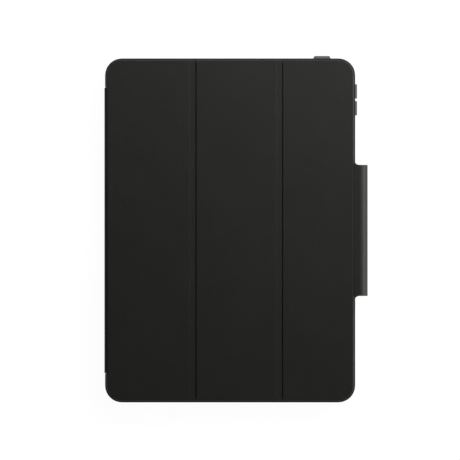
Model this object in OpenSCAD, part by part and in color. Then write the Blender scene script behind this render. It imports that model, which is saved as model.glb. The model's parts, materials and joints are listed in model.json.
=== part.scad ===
// Folio case with a stowed wireless keyboard, for an 11-inch tablet.
// The case lies closed on its back: +Z leaves the front cover, +Y is the top edge of the
// tablet, -X is the spine. The origin is the middle of the back's outer face.

/* [Tablet] */
// Width of the tablet that the case holds
tablet_w = 178.5; // [160:0.5:200]
// Length of the tablet
tablet_l = 247.6; // [230:0.5:270]
// Thickness of the tablet
tablet_t = 5.9; // [5:0.1:8]

/* [Tray] */
// Wall between the tablet and the outside of the tray
wall = 2.8; // [2.4:0.1:4]
// Radius of the tray's four corners
corner_r = 12.4; // [10:0.1:20]
// How far the lip grips over the edge of the tablet
lip = 1.4; // [1:0.1:2]
// Side of the square camera window
camera_side = 34; // [26:1:40]

/* [Cover] */
// Thickness of each cover panel
panel_t = 2.4; // [2.2:0.1:3.5]
// Distance of the cover's edge inside the tray's edge
cover_inset = 0.8; // [0.4:0.1:1.5]
// Place of the fold between the left and middle panels
fold_1_x = -25.2; // [-35:0.1:-15]
// Place of the fold between the middle and right panels
fold_2_x = 38.5; // [30:0.1:48]
// Width of each fold's groove
groove_w = 1.6; // [1.2:0.1:2.4]

/* [Spine and clasp] */
// Length of the spine strip
spine_l = 210; // [180:1:220]
// How far the spine strip stands out past the tray's side
spine_proud = 0.4; // [0.2:0.1:0.6]
// Length of the clasp flap along the edge
clasp_l = 96.4; // [70:0.1:110]
// How far the clasp stands out past the tray's side
clasp_out = 9.15; // [8:0.05:11]
// Outer radius of the clasp's upper bend
clasp_r = 6; // [4:0.1:6.5]

/* [Keyboard] */
// Width of the keyboard, from its rear edge to its front edge
board_w = 172; // [166:1:174]
// Length of the keyboard
board_l = 249; // [247:0.5:250]
// Distance between neighbouring keys along a row
key_pitch = 16; // [15:0.1:16.2]
// Distance between neighbouring rows
row_pitch = 15.6; // [14:0.1:16]
// Gap between neighbouring key caps
key_gap = 2.4; // [2:0.1:3]
// How far a key cap stands above the deck
key_rise = 1; // [0.8:0.1:1.2]

/* [Hidden] */

// Heights of the layers, from the back's outer face upwards
skin_t = 0.6;
board_top = skin_t + 1.2;
liner_top = board_top + 0.5;
pocket_top = liner_top + tablet_t + 0.2;
tray_top = pocket_top + 0.8;
feet_top = tray_top + 0.3;
base_floor = feet_top + 0.8;
deck_z = feet_top + 2.7;
deck_top = deck_z + 0.8;
key_top = deck_top + key_rise;
cover_z = key_top + 0.4;
cover_top = cover_z + panel_t;

// Plan of the tray
tray_x = tablet_w / 2 + wall;
tray_y = tablet_l / 2 + wall;
fit = 0.1;
pocket_x = tablet_w / 2 + fit;
pocket_y = tablet_l / 2 + fit;
pocket_r = corner_r - wall;
board_edge = 7;
spine_x = tray_x + spine_proud;
spine_t = 1.3;
spine_recess_x = spine_x - spine_t - 0.25;
camera_x = tray_x - camera_side / 2 - 10.5;
camera_y = tray_y - camera_side / 2 - 10.5;
camera_r = 7;
frame_w = 1.2;
slot_z = liner_top + 0.7;
slot_h = 4.4;
port_w = 14;
speaker_w = 24;
speaker_x = 42;
pencil_window = 84;
keeper_z = 1.4;

// Buttons on the tray's edges
button_z = 5.4;
button_h = 3.4;
button_rise = 1.45;
power_rise = 1.9;
power_x = 67.6;
power_w = 12.8;
volume_up_y = 102.4;
volume_down_y = 90;
volume_w = 10.6;
flange = 1;
flange_side = 0.6;

// Plan of the cover
cover_x = tray_x - cover_inset;
cover_y = tray_y - cover_inset;
cover_r = corner_r - cover_inset;
edge_round = 1.5;
lining_t = 0.4;
panel_board_t = 1.1;
board_margin = 3;
lining_margin = 1.2;
hinge_gap = 0.45;
panel_start_x = -spine_x + spine_t + hinge_gap;
left_magnet_x = -76;
right_magnet_x = 78;
magnet_z = cover_z + lining_t;

// Clasp, as a bent strip of layers
clasp_x = tray_x + clasp_out;
clasp_z = 0.8;
clasp_low_r = 4.6;
clasp_skin_t = 1.3;
clasp_lining_t = 0.5;
clasp_lip_x = tray_x + 0.75;
clasp_line_x = tray_x - 1.85;
clasp_start_x = clasp_line_x + 1.1;
clasp_root_r = 3.8;

// Keyboard
field_x = -board_w / 2 + 8;
function_row_w = 9;
rows_x = field_x + function_row_w;
field_y = -14.5 * key_pitch / 2;
key_bottom = deck_z + 0.1;
key_clear = 0.35;
key_chamfer = 1.4;
base_wall = 1.4;
base_r = 9;
pad_x = rows_x + 5 * row_pitch + 8;
pad_end_x = board_w / 2 - 7;
pad_y = 52;
light_places = [for (i = [0:2]) [pad_x - 4, 96 + 5 * i]];
port_y = 96;
port_z = feet_top + 1.75;
switch_y = -96;
switch_z = port_z;
post_places = [
    [-board_w / 2 + 4.2, -112], [-board_w / 2 + 4.2, 0], [-board_w / 2 + 4.2, 112],
    [board_w / 2 - 3.9, -112], [board_w / 2 - 3.9, 112], [pad_x - 4, 0]
];
magnet_places = [for (x = [-20, 20], y = [-1, 1]) [x, y * (tray_y - 1.35)]];

// Key widths of each row, in key pitches, from left to right as the user sees them
function_row = [for (i = [1:14]) 14.5 / 14];
number_row = [for (i = [1:14]) i == 14 ? 1.5 : 1];
upper_row = [for (i = [1:14]) i == 1 ? 1.5 : 1];
home_row = [for (i = [1:13]) i == 1 || i == 13 ? 1.75 : 1];
lower_row = [for (i = [1:12]) i == 1 || i == 12 ? 2.25 : 1];
bottom_row = [1, 1, 1, 1.25, 5, 1.25, 1, 1, 1, 1];
space_index = 4;
up_down_index = 8;

function sum_to(list, n) = n == 0 ? 0 : list[n - 1] + sum_to(list, n - 1);

function arc(cx, cy, r, a0, a1, n = 8) = [
    for (i = [0:n]) let (a = a0 + (a1 - a0) * i / n) [cx + r * cos(a), cy + r * sin(a)]
];

function rounded(x0, x1, y0, y1, r) = concat(
    arc(x1 - r, y1 - r, r, 0, 90),
    arc(x0 + r, y1 - r, r, 90, 180),
    arc(x0 + r, y0 + r, r, 180, 270),
    arc(x1 - r, y0 + r, r, 270, 360)
);

function backwards(points) = [for (i = [len(points) - 1:-1:0]) points[i]];

// Upright slab with four round corners
module plate(x0, x1, y0, y1, z0, z1, r) {
    translate([0, 0, z0])
        linear_extrude(z1 - z0)
            polygon(rounded(x0, x1, y0, y1, r));
}

module block(x0, x1, y0, y1, z0, z1) {
    translate([x0, y0, z0])
        cube([x1 - x0, y1 - y0, z1 - z0]);
}

// Slab about the origin, from its half sizes
module centred_plate(x, y, z0, z1, r) {
    plate(-x, x, -y, y, z0, z1, r);
}

module camera_hole(grow, z0, z1) {
    half = camera_side / 2 + grow;
    plate(camera_x - half, camera_x + half, camera_y - half, camera_y + half, z0, z1,
        camera_r + grow);
}

// ---- Tray ----

module back_skin() {
    edge = 0.6;
    color([0.13, 0.13, 0.14])
        difference() {
            centred_plate(tray_x - edge, tray_y - edge, 0, skin_t, corner_r - edge);
            camera_hole(frame_w, -1, 1);
        }
}

module back_board() {
    color([0.3, 0.3, 0.31])
        difference() {
            centred_plate(tray_x - board_edge, tray_y - board_edge, skin_t, board_top,
                corner_r - wall);
            camera_hole(frame_w, 0, 3);
        }
}

module tray_bumper() {
    color([0.1, 0.1, 0.11])
        difference() {
            centred_plate(tray_x, tray_y, skin_t, tray_top, corner_r);
            centred_plate(tray_x - board_edge, tray_y - board_edge, 0, board_top,
                corner_r - wall);
            centred_plate(pocket_x, pocket_y, board_top, pocket_top, pocket_r);
            centred_plate(pocket_x - lip, pocket_y - lip, liner_top, tray_top + 1,
                pocket_r - lip);
            spine_recess();
            edge_slots();
            side_button_slot(volume_up_y);
            side_button_slot(volume_down_y);
            block(power_x - power_w / 2 - fit, power_x + power_w / 2 + fit,
                pocket_y - 1, tray_y + 1, button_z - button_h / 2 - fit,
                button_z + button_h / 2 + fit);
            block(power_x - power_w / 2 - 2 * flange, power_x + power_w / 2 + 2 * flange,
                pocket_y - 1, pocket_y + 1.4, button_z - button_h / 2 - flange - fit,
                button_z + button_h / 2 + flange + fit);
            for (y = [-1, 1])
                keeper_magnet(y, 0.05);
            for (place = magnet_places)
                translate([place[0], place[1], pocket_top - 4])
                    cylinder(r = 0.95, h = 10, $fn = 32);
        }
}

// Full-height recess that the spine strip lies in
module spine_recess() {
    block(-tray_x - 1, -spine_recess_x, -spine_l / 2 - 0.5, spine_l / 2 + 0.5, 0,
        tray_top + 1);
}

// Charging port, speaker and pencil openings in the walls
module edge_slots() {
    block(-port_w / 2, port_w / 2, -tray_y - 1, -pocket_y + 1, slot_z, slot_z + slot_h);
    for (x = [-speaker_x, speaker_x], side = [-1, 1])
        block(x - speaker_w / 2, x + speaker_w / 2,
            side > 0 ? pocket_y - 1 : -tray_y - 1, side > 0 ? tray_y + 1 : 1 - pocket_y,
            slot_z, slot_z + slot_h);
    block(pocket_x - 1, tray_x + 1, -pencil_window / 2, pencil_window / 2, slot_z,
        pocket_top - 0.6);
}

module side_button_slot(y) {
    block(pocket_x - 1, tray_x + 1, y - volume_w / 2 - fit, y + volume_w / 2 + fit,
        button_z - button_h / 2 - fit, button_z + button_h / 2 + fit);
    block(pocket_x - 1, pocket_x + 1.4, y - volume_w / 2 - flange_side - fit,
        y + volume_w / 2 + flange_side + fit, button_z - button_h / 2 - flange - fit,
        button_z + button_h / 2 + flange + fit);
}

module tray_liner() {
    color([0.2, 0.2, 0.21])
        difference() {
            centred_plate(pocket_x, pocket_y, board_top, liner_top, pocket_r);
            camera_hole(frame_w, 0, 3);
        }
}

// Square ring that lines the camera window
module camera_frame() {
    color([0.07, 0.07, 0.08])
        difference() {
            camera_hole(frame_w, 0.2, liner_top);
            camera_hole(0, -1, 4);
        }
}

module keeper_magnet(side, grow) {
    y = side * (pencil_window / 2 + 3.4);
    block(tray_x - 1.7 - grow, tray_x - 0.7 + grow, y - 2.4 - grow, y + 2.4 + grow,
        keeper_z - grow, keeper_z + 4 + grow);
}

module keeper_magnets() {
    color([0.6, 0.6, 0.62])
        for (side = [-1, 1])
            keeper_magnet(side, 0);
}

// Four upright pins in the tray's end walls that hold the keyboard down
module dock_magnets() {
    color([0.6, 0.6, 0.62])
        for (place = magnet_places)
            translate([place[0], place[1], pocket_top - 4])
                cylinder(r = 0.9, h = 4.6, $fn = 32);
}

// ---- Spine ----

module spine_layer(from, to, shade) {
    color(shade)
        block(-spine_x + from, -spine_x + to, -spine_l / 2, spine_l / 2,
            skin_t + 0.2, cover_z + 0.6);
}

module spine_skin() {
    spine_layer(0, 0.6, [0.13, 0.13, 0.14]);
}

module spine_board() {
    spine_layer(0.6, 1, [0.3, 0.3, 0.31]);
}

module spine_lining() {
    spine_layer(1, spine_t, [0.2, 0.2, 0.21]);
}

// Flexible corner between the spine and the cover
module front_hinge_strip() {
    bend = 1.4;
    color([0.12, 0.12, 0.13])
        translate([0, spine_l / 2, 0])
            rotate([90, 0, 0])
                linear_extrude(spine_l)
                    polygon(concat(
                        arc(-spine_x + bend, cover_top - 0.1 - bend, bend, 180, 90),
                        [[panel_start_x, cover_top - 0.1], [panel_start_x, cover_z + 0.6],
                        [-spine_x, cover_z + 0.6]]));
}

// Flexible corner between the spine and the back
module back_hinge_strip() {
    color([0.12, 0.12, 0.13])
        union() {
            block(-spine_x, -tray_x + 0.6, -spine_l / 2, spine_l / 2, 0.05, skin_t);
            block(-spine_x, -spine_x + spine_t, -spine_l / 2, spine_l / 2, skin_t,
                skin_t + 0.2);
        }
}

// ---- Cover ----

// The whole cover as one slab with rounded upper and lower edges
module cover_slab() {
    hull() {
        for (step = [0:3]) {
            a = step * 30;
            in = edge_round * (1 - cos(a));
            z = cover_top - edge_round + edge_round * sin(a);
            centred_plate(cover_x - in, cover_y - in, z - 0.01, z, cover_r - in);
        }
        centred_plate(cover_x - 0.3, cover_y - 0.3, cover_z, cover_z + 0.01, cover_r - 0.3);
    }
}

module panel_skin(x0, x1) {
    color([0.14, 0.14, 0.15])
        difference() {
            intersection() {
                cover_slab();
                block(x0, x1, -cover_y - 1, cover_y + 1, cover_z - 1, cover_top + 1);
            }
            panel_sheet(x0, x1, lining_margin, cover_z - 1, cover_z + lining_t);
            panel_sheet(x0, x1, board_margin, cover_z, cover_z + lining_t + panel_board_t);
        }
}

// A sheet inside a panel, held back from the cover's edge and from the folds
module panel_sheet(x0, x1, margin, z0, z1) {
    left = max(x0 + margin, -cover_x + margin);
    right = min(x1 - margin, cover_x - margin);
    intersection() {
        centred_plate(cover_x - margin, cover_y - margin, z0, z1, cover_r - margin);
        block(left, right, -cover_y, cover_y, z0 - 1, z1 + 1);
    }
}

module panel_board(x0, x1) {
    color([0.34, 0.34, 0.35])
        panel_sheet(x0, x1, board_margin, cover_z + lining_t,
            cover_z + lining_t + panel_board_t);
}

module panel_lining(x0, x1) {
    color([0.22, 0.22, 0.23])
        panel_sheet(x0, x1, lining_margin, cover_z, cover_z + lining_t);
}

// A column of bar magnets let into a panel's board
module panel_magnet_bars(x, grow) {
    for (y = [-84, -28, 28, 84])
        block(x - 2.5 - grow, x + 2.5 + grow, y - 9 - grow, y + 9 + grow,
            magnet_z - grow, magnet_z + 0.9 + grow);
}

module left_panel_skin() {
    difference() {
        panel_skin(-cover_x - 1, fold_1_x - groove_w / 2);
        color([0.14, 0.14, 0.15])
            block(-cover_x - 2, panel_start_x, -spine_l / 2 - 0.3, spine_l / 2 + 0.3,
                cover_z - 1, cover_top + 1);
    }
}

module left_panel_board() {
    difference() {
        panel_board(-cover_x - 1, fold_1_x - groove_w / 2);
        panel_magnet_bars(left_magnet_x, 0.02);
    }
}

module left_panel_lining() {
    panel_lining(-cover_x - 1, fold_1_x - groove_w / 2);
}

module left_panel_magnets() {
    color([0.6, 0.6, 0.62])
        panel_magnet_bars(left_magnet_x, 0);
}

module middle_panel_skin() {
    panel_skin(fold_1_x + groove_w / 2, fold_2_x - groove_w / 2);
}

module middle_panel_board() {
    panel_board(fold_1_x + groove_w / 2, fold_2_x - groove_w / 2);
}

module middle_panel_lining() {
    panel_lining(fold_1_x + groove_w / 2, fold_2_x - groove_w / 2);
}

module right_panel_skin() {
    difference() {
        panel_skin(fold_2_x + groove_w / 2, cover_x + 1);
        color([0.14, 0.14, 0.15])
            block(clasp_line_x, cover_x + 2, -clasp_l / 2 - 0.3, clasp_l / 2 + 0.3,
                cover_z - 1, cover_top + 1);
    }
}

module right_panel_board() {
    difference() {
        panel_board(fold_2_x + groove_w / 2, cover_x + 1);
        panel_magnet_bars(right_magnet_x, 0.02);
    }
}

module right_panel_lining() {
    panel_lining(fold_2_x + groove_w / 2, cover_x + 1);
}

module right_panel_magnets() {
    color([0.6, 0.6, 0.62])
        panel_magnet_bars(right_magnet_x, 0);
}

// Thin flexible web at the bottom of a fold's groove
module fold_strip(x) {
    reach = cover_y - 3.2;
    color([0.09, 0.09, 0.1])
        block(x - groove_w / 2, x + groove_w / 2, -reach, reach, cover_z + 0.2,
            cover_top - 0.8);
}

module left_fold_strip() {
    fold_strip(fold_1_x);
}

module right_fold_strip() {
    fold_strip(fold_2_x);
}

// ---- Clasp ----

// The path of the bent clasp in a section across the edge, moved in by some depth
function clasp_path(depth) = concat(
    [[clasp_start_x, cover_top - depth]],
    arc(clasp_x - clasp_r, cover_top - clasp_r, clasp_r - depth, 90, 0),
    arc(clasp_x - clasp_low_r, clasp_z + clasp_low_r, clasp_low_r - depth, 0, -90),
    [[clasp_lip_x, clasp_z + depth]]
);

module clasp_layer(outer, inner, length) {
    translate([0, length / 2, 0])
        rotate([90, 0, 0])
            linear_extrude(length)
                polygon(concat(clasp_path(outer), backwards(clasp_path(inner))));
}

module clasp_board_block(grow) {
    block(clasp_x - clasp_skin_t, clasp_x - clasp_skin_t + 0.6 + grow,
        -clasp_l / 2 + 3 - grow, clasp_l / 2 - 3 + grow,
        clasp_z + clasp_low_r + 0.2 - grow, cover_top - clasp_r - 0.2 + grow);
}

module clasp_magnet_bars(grow) {
    for (side = [-1, 1])
        block(clasp_lip_x + 0.6 - grow, clasp_lip_x + 2.9 + grow,
            side * 34 - 9 - grow, side * 34 + 9 + grow,
            clasp_z + 0.4 - grow, clasp_z + clasp_skin_t);
}

// Rounded inner corner where the flap leaves the cover's edge
module clasp_root(side) {
    y = side * clasp_l / 2;
    r = clasp_root_r;
    rim = side > 0 ? arc(clasp_start_x + r, y + r, r, -90, -180)
        : arc(clasp_start_x + r, y - r, r, 90, 180);
    translate([0, 0, cover_top - clasp_skin_t])
        linear_extrude(clasp_skin_t)
            polygon(concat([[clasp_start_x, y]], rim));
}

module clasp_strap() {
    color([0.14, 0.14, 0.15])
        difference() {
            union() {
                clasp_layer(0, clasp_skin_t, clasp_l);
                clasp_root(1);
                clasp_root(-1);
            }
            clasp_board_block(0.02);
            clasp_magnet_bars(0.02);
        }
}

module clasp_board() {
    color([0.34, 0.34, 0.35])
        clasp_board_block(0);
}

module clasp_lining() {
    color([0.22, 0.22, 0.23])
        clasp_layer(clasp_skin_t, clasp_skin_t + clasp_lining_t, clasp_l - 1.6);
}

module clasp_magnets() {
    color([0.6, 0.6, 0.62])
        clasp_magnet_bars(0);
}

module clasp_hinge_strip() {
    color([0.09, 0.09, 0.1])
        block(clasp_line_x, clasp_start_x, -clasp_l / 2, clasp_l / 2, cover_z + 0.6,
            cover_top - 0.5);
}

// ---- Buttons ----

module side_button(y) {
    color([0.34, 0.34, 0.35])
        union() {
            block(pocket_x + 0.6, tray_x + button_rise, y - volume_w / 2, y + volume_w / 2,
                button_z - button_h / 2, button_z + button_h / 2);
            block(pocket_x + 0.6, pocket_x + 1.4, y - volume_w / 2 - flange_side,
                y + volume_w / 2 + flange_side, button_z - button_h / 2 - flange,
                button_z + button_h / 2 + flange);
        }
}

module volume_up_button() {
    side_button(volume_up_y);
}

module volume_down_button() {
    side_button(volume_down_y);
}

module power_button() {
    taper = 0.9;
    half = power_w / 2;
    color([0.34, 0.34, 0.35])
        union() {
            translate([power_x, 0, button_z - button_h / 2])
                linear_extrude(button_h)
                    polygon([
                        [-half, pocket_y + 0.6], [half, pocket_y + 0.6],
                        [half, tray_y + 0.2], [half - taper, tray_y + power_rise],
                        [-half + taper, tray_y + power_rise], [-half, tray_y + 0.2]
                    ]);
            block(power_x - half - flange, power_x + half + flange, pocket_y + 0.6,
                pocket_y + 1.4, button_z - button_h / 2 - flange,
                button_z + button_h / 2 + flange);
        }
}

// ---- Keyboard ----

module keyboard_base() {
    color([0.17, 0.17, 0.18])
        difference() {
            centred_plate(board_w / 2, board_l / 2, feet_top, deck_z, base_r);
            centred_plate(board_w / 2 - base_wall, board_l / 2 - base_wall, base_floor,
                deck_z + 1, base_r - base_wall);
            charging_port_block(0.05);
            block(-board_w / 2 - 1, -board_w / 2 + base_wall + 1, switch_y - 4.2,
                switch_y + 2.2, switch_z - 0.75, switch_z + 0.75);
            for (place = post_places)
                translate([place[0], place[1], feet_top - 1]) {
                    cylinder(r = 0.95, h = 4, $fn = 32);
                    cylinder(r = 1.7, h = 1.45, $fn = 32);
                }
            for (place = magnet_places)
                keyboard_magnet(place, 0.02);
        }
}

// One magnet plate in the underside of the keyboard's end walls
module keyboard_magnet(place, grow) {
    side = place[1] > 0 ? 1 : -1;
    y = side * (board_l / 2 - 2.6);
    block(place[0] - 5 - grow, place[0] + 5 + grow, y - 1.8 - grow, y + 1.8 + grow,
        feet_top - (grow > 0 ? 1 : 0), feet_top + 0.5 + grow);
}

module keyboard_magnets() {
    color([0.6, 0.6, 0.62])
        for (place = magnet_places)
            keyboard_magnet(place, 0);
}

module key_shape(x, y, w, l, z0, z1, cut) {
    a = w / 2;
    b = l / 2;
    translate([x, y, z0])
        linear_extrude(z1 - z0)
            polygon([
                [a, b - cut], [a - cut, b], [cut - a, b], [-a, b - cut],
                [-a, cut - b], [cut - a, -b], [a - cut, -b], [a, cut - b]
            ]);
}

// All keys of one row as shapes, grown by some clearance; keys between first and last only
module row_keys(widths, x, depth, z0, z1, grow, first, last) {
    for (i = [first:last]) {
        w = widths[i] * key_pitch;
        y = field_y + sum_to(widths, i) * key_pitch + w / 2;
        key_shape(x, y, depth - key_gap + 2 * grow, w - key_gap + 2 * grow, z0, z1,
            key_chamfer);
    }
}

function row_x(n) = rows_x + (n + 0.5) * row_pitch;

module function_caps(z0, z1, grow) {
    row_keys(function_row, field_x + function_row_w / 2, function_row_w, z0, z1, grow, 0, 13);
}

module number_caps(z0, z1, grow) {
    row_keys(number_row, row_x(0), row_pitch, z0, z1, grow, 0, 13);
}

module upper_caps(z0, z1, grow) {
    row_keys(upper_row, row_x(1), row_pitch, z0, z1, grow, 0, 13);
}

module home_caps(z0, z1, grow) {
    row_keys(home_row, row_x(2), row_pitch, z0, z1, grow, 0, 12);
}

module lower_caps(z0, z1, grow) {
    row_keys(lower_row, row_x(3), row_pitch, z0, z1, grow, 0, 11);
}

module modifier_caps(z0, z1, grow) {
    half = (row_pitch - key_gap) / 4 - 0.2;
    row_keys(bottom_row, row_x(4), row_pitch, z0, z1, grow, 0, space_index - 1);
    row_keys(bottom_row, row_x(4), row_pitch, z0, z1, grow, space_index + 1,
        up_down_index - 1);
    row_keys(bottom_row, row_x(4), row_pitch, z0, z1, grow, up_down_index + 1, 9);
    for (side = [-1, 1])
        row_keys(bottom_row, row_x(4) + side * (half + 0.9), 2 * half - 0.6 + key_gap, z0, z1,
            grow, up_down_index, up_down_index);
}

module space_cap(z0, z1, grow) {
    row_keys(bottom_row, row_x(4), row_pitch, z0, z1, grow, space_index, space_index);
}

module keycaps() {
    color([0.12, 0.12, 0.13])
        children();
}

module function_keys() {
    keycaps() function_caps(key_bottom, key_top, 0);
}

module number_keys() {
    keycaps() number_caps(key_bottom, key_top, 0);
}

module upper_letter_keys() {
    keycaps() upper_caps(key_bottom, key_top, 0);
}

module home_keys() {
    keycaps() home_caps(key_bottom, key_top, 0);
}

module lower_letter_keys() {
    keycaps() lower_caps(key_bottom, key_top, 0);
}

module modifier_keys() {
    keycaps() modifier_caps(key_bottom, key_top, 0);
}

module space_bar() {
    keycaps() space_cap(key_bottom, key_top, 0);
}

module keyboard_deck() {
    z0 = deck_z - 1;
    z1 = deck_top + 1;
    color([0.2, 0.2, 0.21])
        difference() {
            union() {
                centred_plate(board_w / 2, board_l / 2, deck_z, deck_top, base_r);
                for (place = post_places)
                    translate([place[0], place[1], base_floor])
                        cylinder(r = 1.9, h = deck_z - base_floor + 0.2, $fn = 32);
            }
            function_caps(z0, z1, key_clear);
            number_caps(z0, z1, key_clear);
            upper_caps(z0, z1, key_clear);
            home_caps(z0, z1, key_clear);
            lower_caps(z0, z1, key_clear);
            modifier_caps(z0, z1, key_clear);
            space_cap(z0, z1, key_clear);
            plate(pad_x - 0.3, pad_end_x + 0.3, -pad_y - 0.3, pad_y + 0.3, z0, z1, 4.3);
            for (place = post_places)
                translate([place[0], place[1], base_floor - 1])
                    cylinder(r = 0.85, h = 2.9, $fn = 32);
            for (place = light_places)
                translate([place[0], place[1], z0])
                    cylinder(r = 0.65, h = 4, $fn = 32);
        }
}

module deck_screws() {
    color([0.7, 0.7, 0.72])
        for (place = post_places)
            translate([place[0], place[1], feet_top + 0.05]) {
                cylinder(r = 1.6, h = 0.4, $fn = 32);
                cylinder(r = 0.8, h = 2.3, $fn = 32);
            }
}

// Rubber sheet with one dome under each key
module dome_sheet() {
    z = base_floor + 0.3;
    rows = [number_row, upper_row, home_row, lower_row];
    color([0.75, 0.75, 0.76])
        union() {
            block(field_x + 0.6, row_x(4) + row_pitch / 2 - 0.6, field_y, -field_y, z, z + 0.3);
            for (n = [0:3], i = [0:len(rows[n]) - 1])
                dome(row_x(n), field_y + (sum_to(rows[n], i) + rows[n][i] / 2) * key_pitch, z);
            for (i = [0:len(bottom_row) - 1])
                if (i != up_down_index)
                    dome(row_x(4), field_y + (sum_to(bottom_row, i) + bottom_row[i] / 2)
                        * key_pitch, z);
        }
}

module dome(x, y, z) {
    translate([x, y, z + 0.3])
        cylinder(r1 = 2.6, r2 = 1.5, h = 1.3, $fn = 24);
}

module key_circuit() {
    color([0.55, 0.42, 0.2])
        block(field_x + 0.4, row_x(4) + row_pitch / 2 - 0.4, field_y - 1, 1 - field_y,
            base_floor, base_floor + 0.3);
}

module battery_cells() {
    color([0.72, 0.73, 0.75])
        for (side = [-1, 1])
            block(pad_x + 2, pad_end_x, side > 0 ? pad_y + 6 : 6 - board_l / 2,
                side > 0 ? board_l / 2 - 6 : -pad_y - 6, base_floor, deck_z - 0.2);
}

module controller_board() {
    color([0.1, 0.32, 0.2])
        union() {
            block(pad_x + 4, pad_end_x - 20, -pad_y + 4, pad_y - 4, base_floor,
                base_floor + 0.6);
            block(pad_x + 10, pad_x + 18, -6, 6, base_floor + 0.6, base_floor + 1.1);
            block(pad_x + 10, pad_x + 16, 14, 24, base_floor + 0.6, base_floor + 1.1);
        }
}

module charging_port_block(grow) {
    block(-board_w / 2 - (grow > 0 ? 1 : 0), -board_w / 2 + 5 + grow, port_y - 4.4 - grow,
        port_y + 4.4 + grow, port_z - 0.9 - grow, port_z + 0.9 + grow);
}

module charging_port() {
    color([0.6, 0.6, 0.62])
        difference() {
            charging_port_block(0);
            block(-board_w / 2 - 1, -board_w / 2 + 4, port_y - 3.9, port_y + 3.9,
                port_z - 0.55, port_z + 0.55);
        }
}

module keyboard_feet() {
    color([0.08, 0.08, 0.09])
        for (x = [-76, 76], side = [-1, 1])
            block(x - 5, x + 5, side * (board_l / 2 - 1.4) - 0.9,
                side * (board_l / 2 - 1.4) + 0.9, tray_top, feet_top);
}

module status_lights() {
    color([0.5, 0.9, 0.6])
        for (place = light_places)
            translate([place[0], place[1], deck_z])
                cylinder(r = 0.6, h = deck_top - deck_z, $fn = 24);
}

module trackpad() {
    color([0.16, 0.16, 0.17])
        plate(pad_x, pad_end_x, -pad_y, pad_y, deck_z + 0.1, deck_top + 0.1, 4);
}

module power_switch() {
    color([0.5, 0.5, 0.52])
        union() {
            block(-board_w / 2 - 0.5, -board_w / 2 + 2, switch_y - 4, switch_y - 1,
                switch_z - 0.65, switch_z + 0.65);
            block(-board_w / 2 + 1.5, -board_w / 2 + 2.3, switch_y - 5.5, switch_y + 0.5,
                switch_z - 0.85, switch_z + 0.85);
        }
}

back_skin();
back_board();
tray_bumper();
tray_liner();
camera_frame();
keeper_magnets();
dock_magnets();
back_hinge_strip();
spine_skin();
spine_board();
spine_lining();
front_hinge_strip();
left_panel_skin();
left_panel_board();
left_panel_lining();
left_panel_magnets();
left_fold_strip();
middle_panel_skin();
middle_panel_board();
middle_panel_lining();
right_fold_strip();
right_panel_skin();
right_panel_board();
right_panel_lining();
right_panel_magnets();
clasp_hinge_strip();
clasp_strap();
clasp_board();
clasp_lining();
clasp_magnets();
power_button();
volume_up_button();
volume_down_button();
keyboard_base();
keyboard_deck();
dome_sheet();
key_circuit();
battery_cells();
controller_board();
charging_port();
keyboard_feet();
keyboard_magnets();
deck_screws();
status_lights();
function_keys();
number_keys();
upper_letter_keys();
home_keys();
lower_letter_keys();
modifier_keys();
space_bar();
trackpad();
power_switch();
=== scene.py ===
"""Looks of a folio case for a tablet, with a keyboard stowed inside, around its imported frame."""

import json
import math

import bmesh
import bpy
from mathutils import Matrix, Vector

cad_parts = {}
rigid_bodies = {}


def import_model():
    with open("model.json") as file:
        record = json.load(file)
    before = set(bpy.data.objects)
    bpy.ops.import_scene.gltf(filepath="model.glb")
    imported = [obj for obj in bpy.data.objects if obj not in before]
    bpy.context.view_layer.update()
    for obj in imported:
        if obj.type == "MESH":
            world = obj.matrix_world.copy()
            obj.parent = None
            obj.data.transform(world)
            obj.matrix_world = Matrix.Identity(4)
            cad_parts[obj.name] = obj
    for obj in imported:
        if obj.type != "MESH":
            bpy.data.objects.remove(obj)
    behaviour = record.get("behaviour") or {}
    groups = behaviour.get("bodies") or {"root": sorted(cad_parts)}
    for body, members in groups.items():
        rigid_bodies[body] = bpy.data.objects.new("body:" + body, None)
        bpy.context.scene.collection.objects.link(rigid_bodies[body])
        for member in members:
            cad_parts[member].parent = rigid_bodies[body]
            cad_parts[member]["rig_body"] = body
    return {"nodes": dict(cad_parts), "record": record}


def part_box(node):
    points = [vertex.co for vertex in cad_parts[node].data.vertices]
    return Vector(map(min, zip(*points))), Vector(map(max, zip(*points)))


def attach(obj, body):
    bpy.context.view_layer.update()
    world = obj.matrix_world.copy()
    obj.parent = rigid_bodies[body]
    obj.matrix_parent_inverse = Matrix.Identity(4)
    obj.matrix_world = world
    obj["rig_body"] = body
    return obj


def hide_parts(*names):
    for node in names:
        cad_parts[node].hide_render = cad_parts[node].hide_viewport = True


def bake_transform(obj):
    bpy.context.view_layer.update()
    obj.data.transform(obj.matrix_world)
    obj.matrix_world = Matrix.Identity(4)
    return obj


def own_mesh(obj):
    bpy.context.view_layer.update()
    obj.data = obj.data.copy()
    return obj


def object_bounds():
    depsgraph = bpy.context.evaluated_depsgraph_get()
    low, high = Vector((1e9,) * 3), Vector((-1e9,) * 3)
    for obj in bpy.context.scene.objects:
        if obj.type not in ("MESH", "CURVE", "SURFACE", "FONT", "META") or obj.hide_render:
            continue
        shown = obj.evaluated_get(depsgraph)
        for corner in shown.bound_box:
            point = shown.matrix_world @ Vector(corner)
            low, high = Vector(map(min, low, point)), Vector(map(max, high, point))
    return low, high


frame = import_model()
CAD_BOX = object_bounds()

bl_info = {
    "name": "Tablet keyboard case",
    "version": (1, 0, 0),
    "blender": (4, 5, 0),
    "location": "View3D > Sidebar > Keyboard case",
    "description": "Models the leather, mouldings and keys of a folio keyboard case",
    "category": "Add Mesh",
}

MM = 0.001
UP = Vector((0, 0, 1))

# Distances in millimetres under which points count as one, or as lying on a plane
ON_CUT = 1e-5
ON_POINT = 1e-4
ON_LEVEL = 1e-3
ON_SPOT = 0.01
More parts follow.
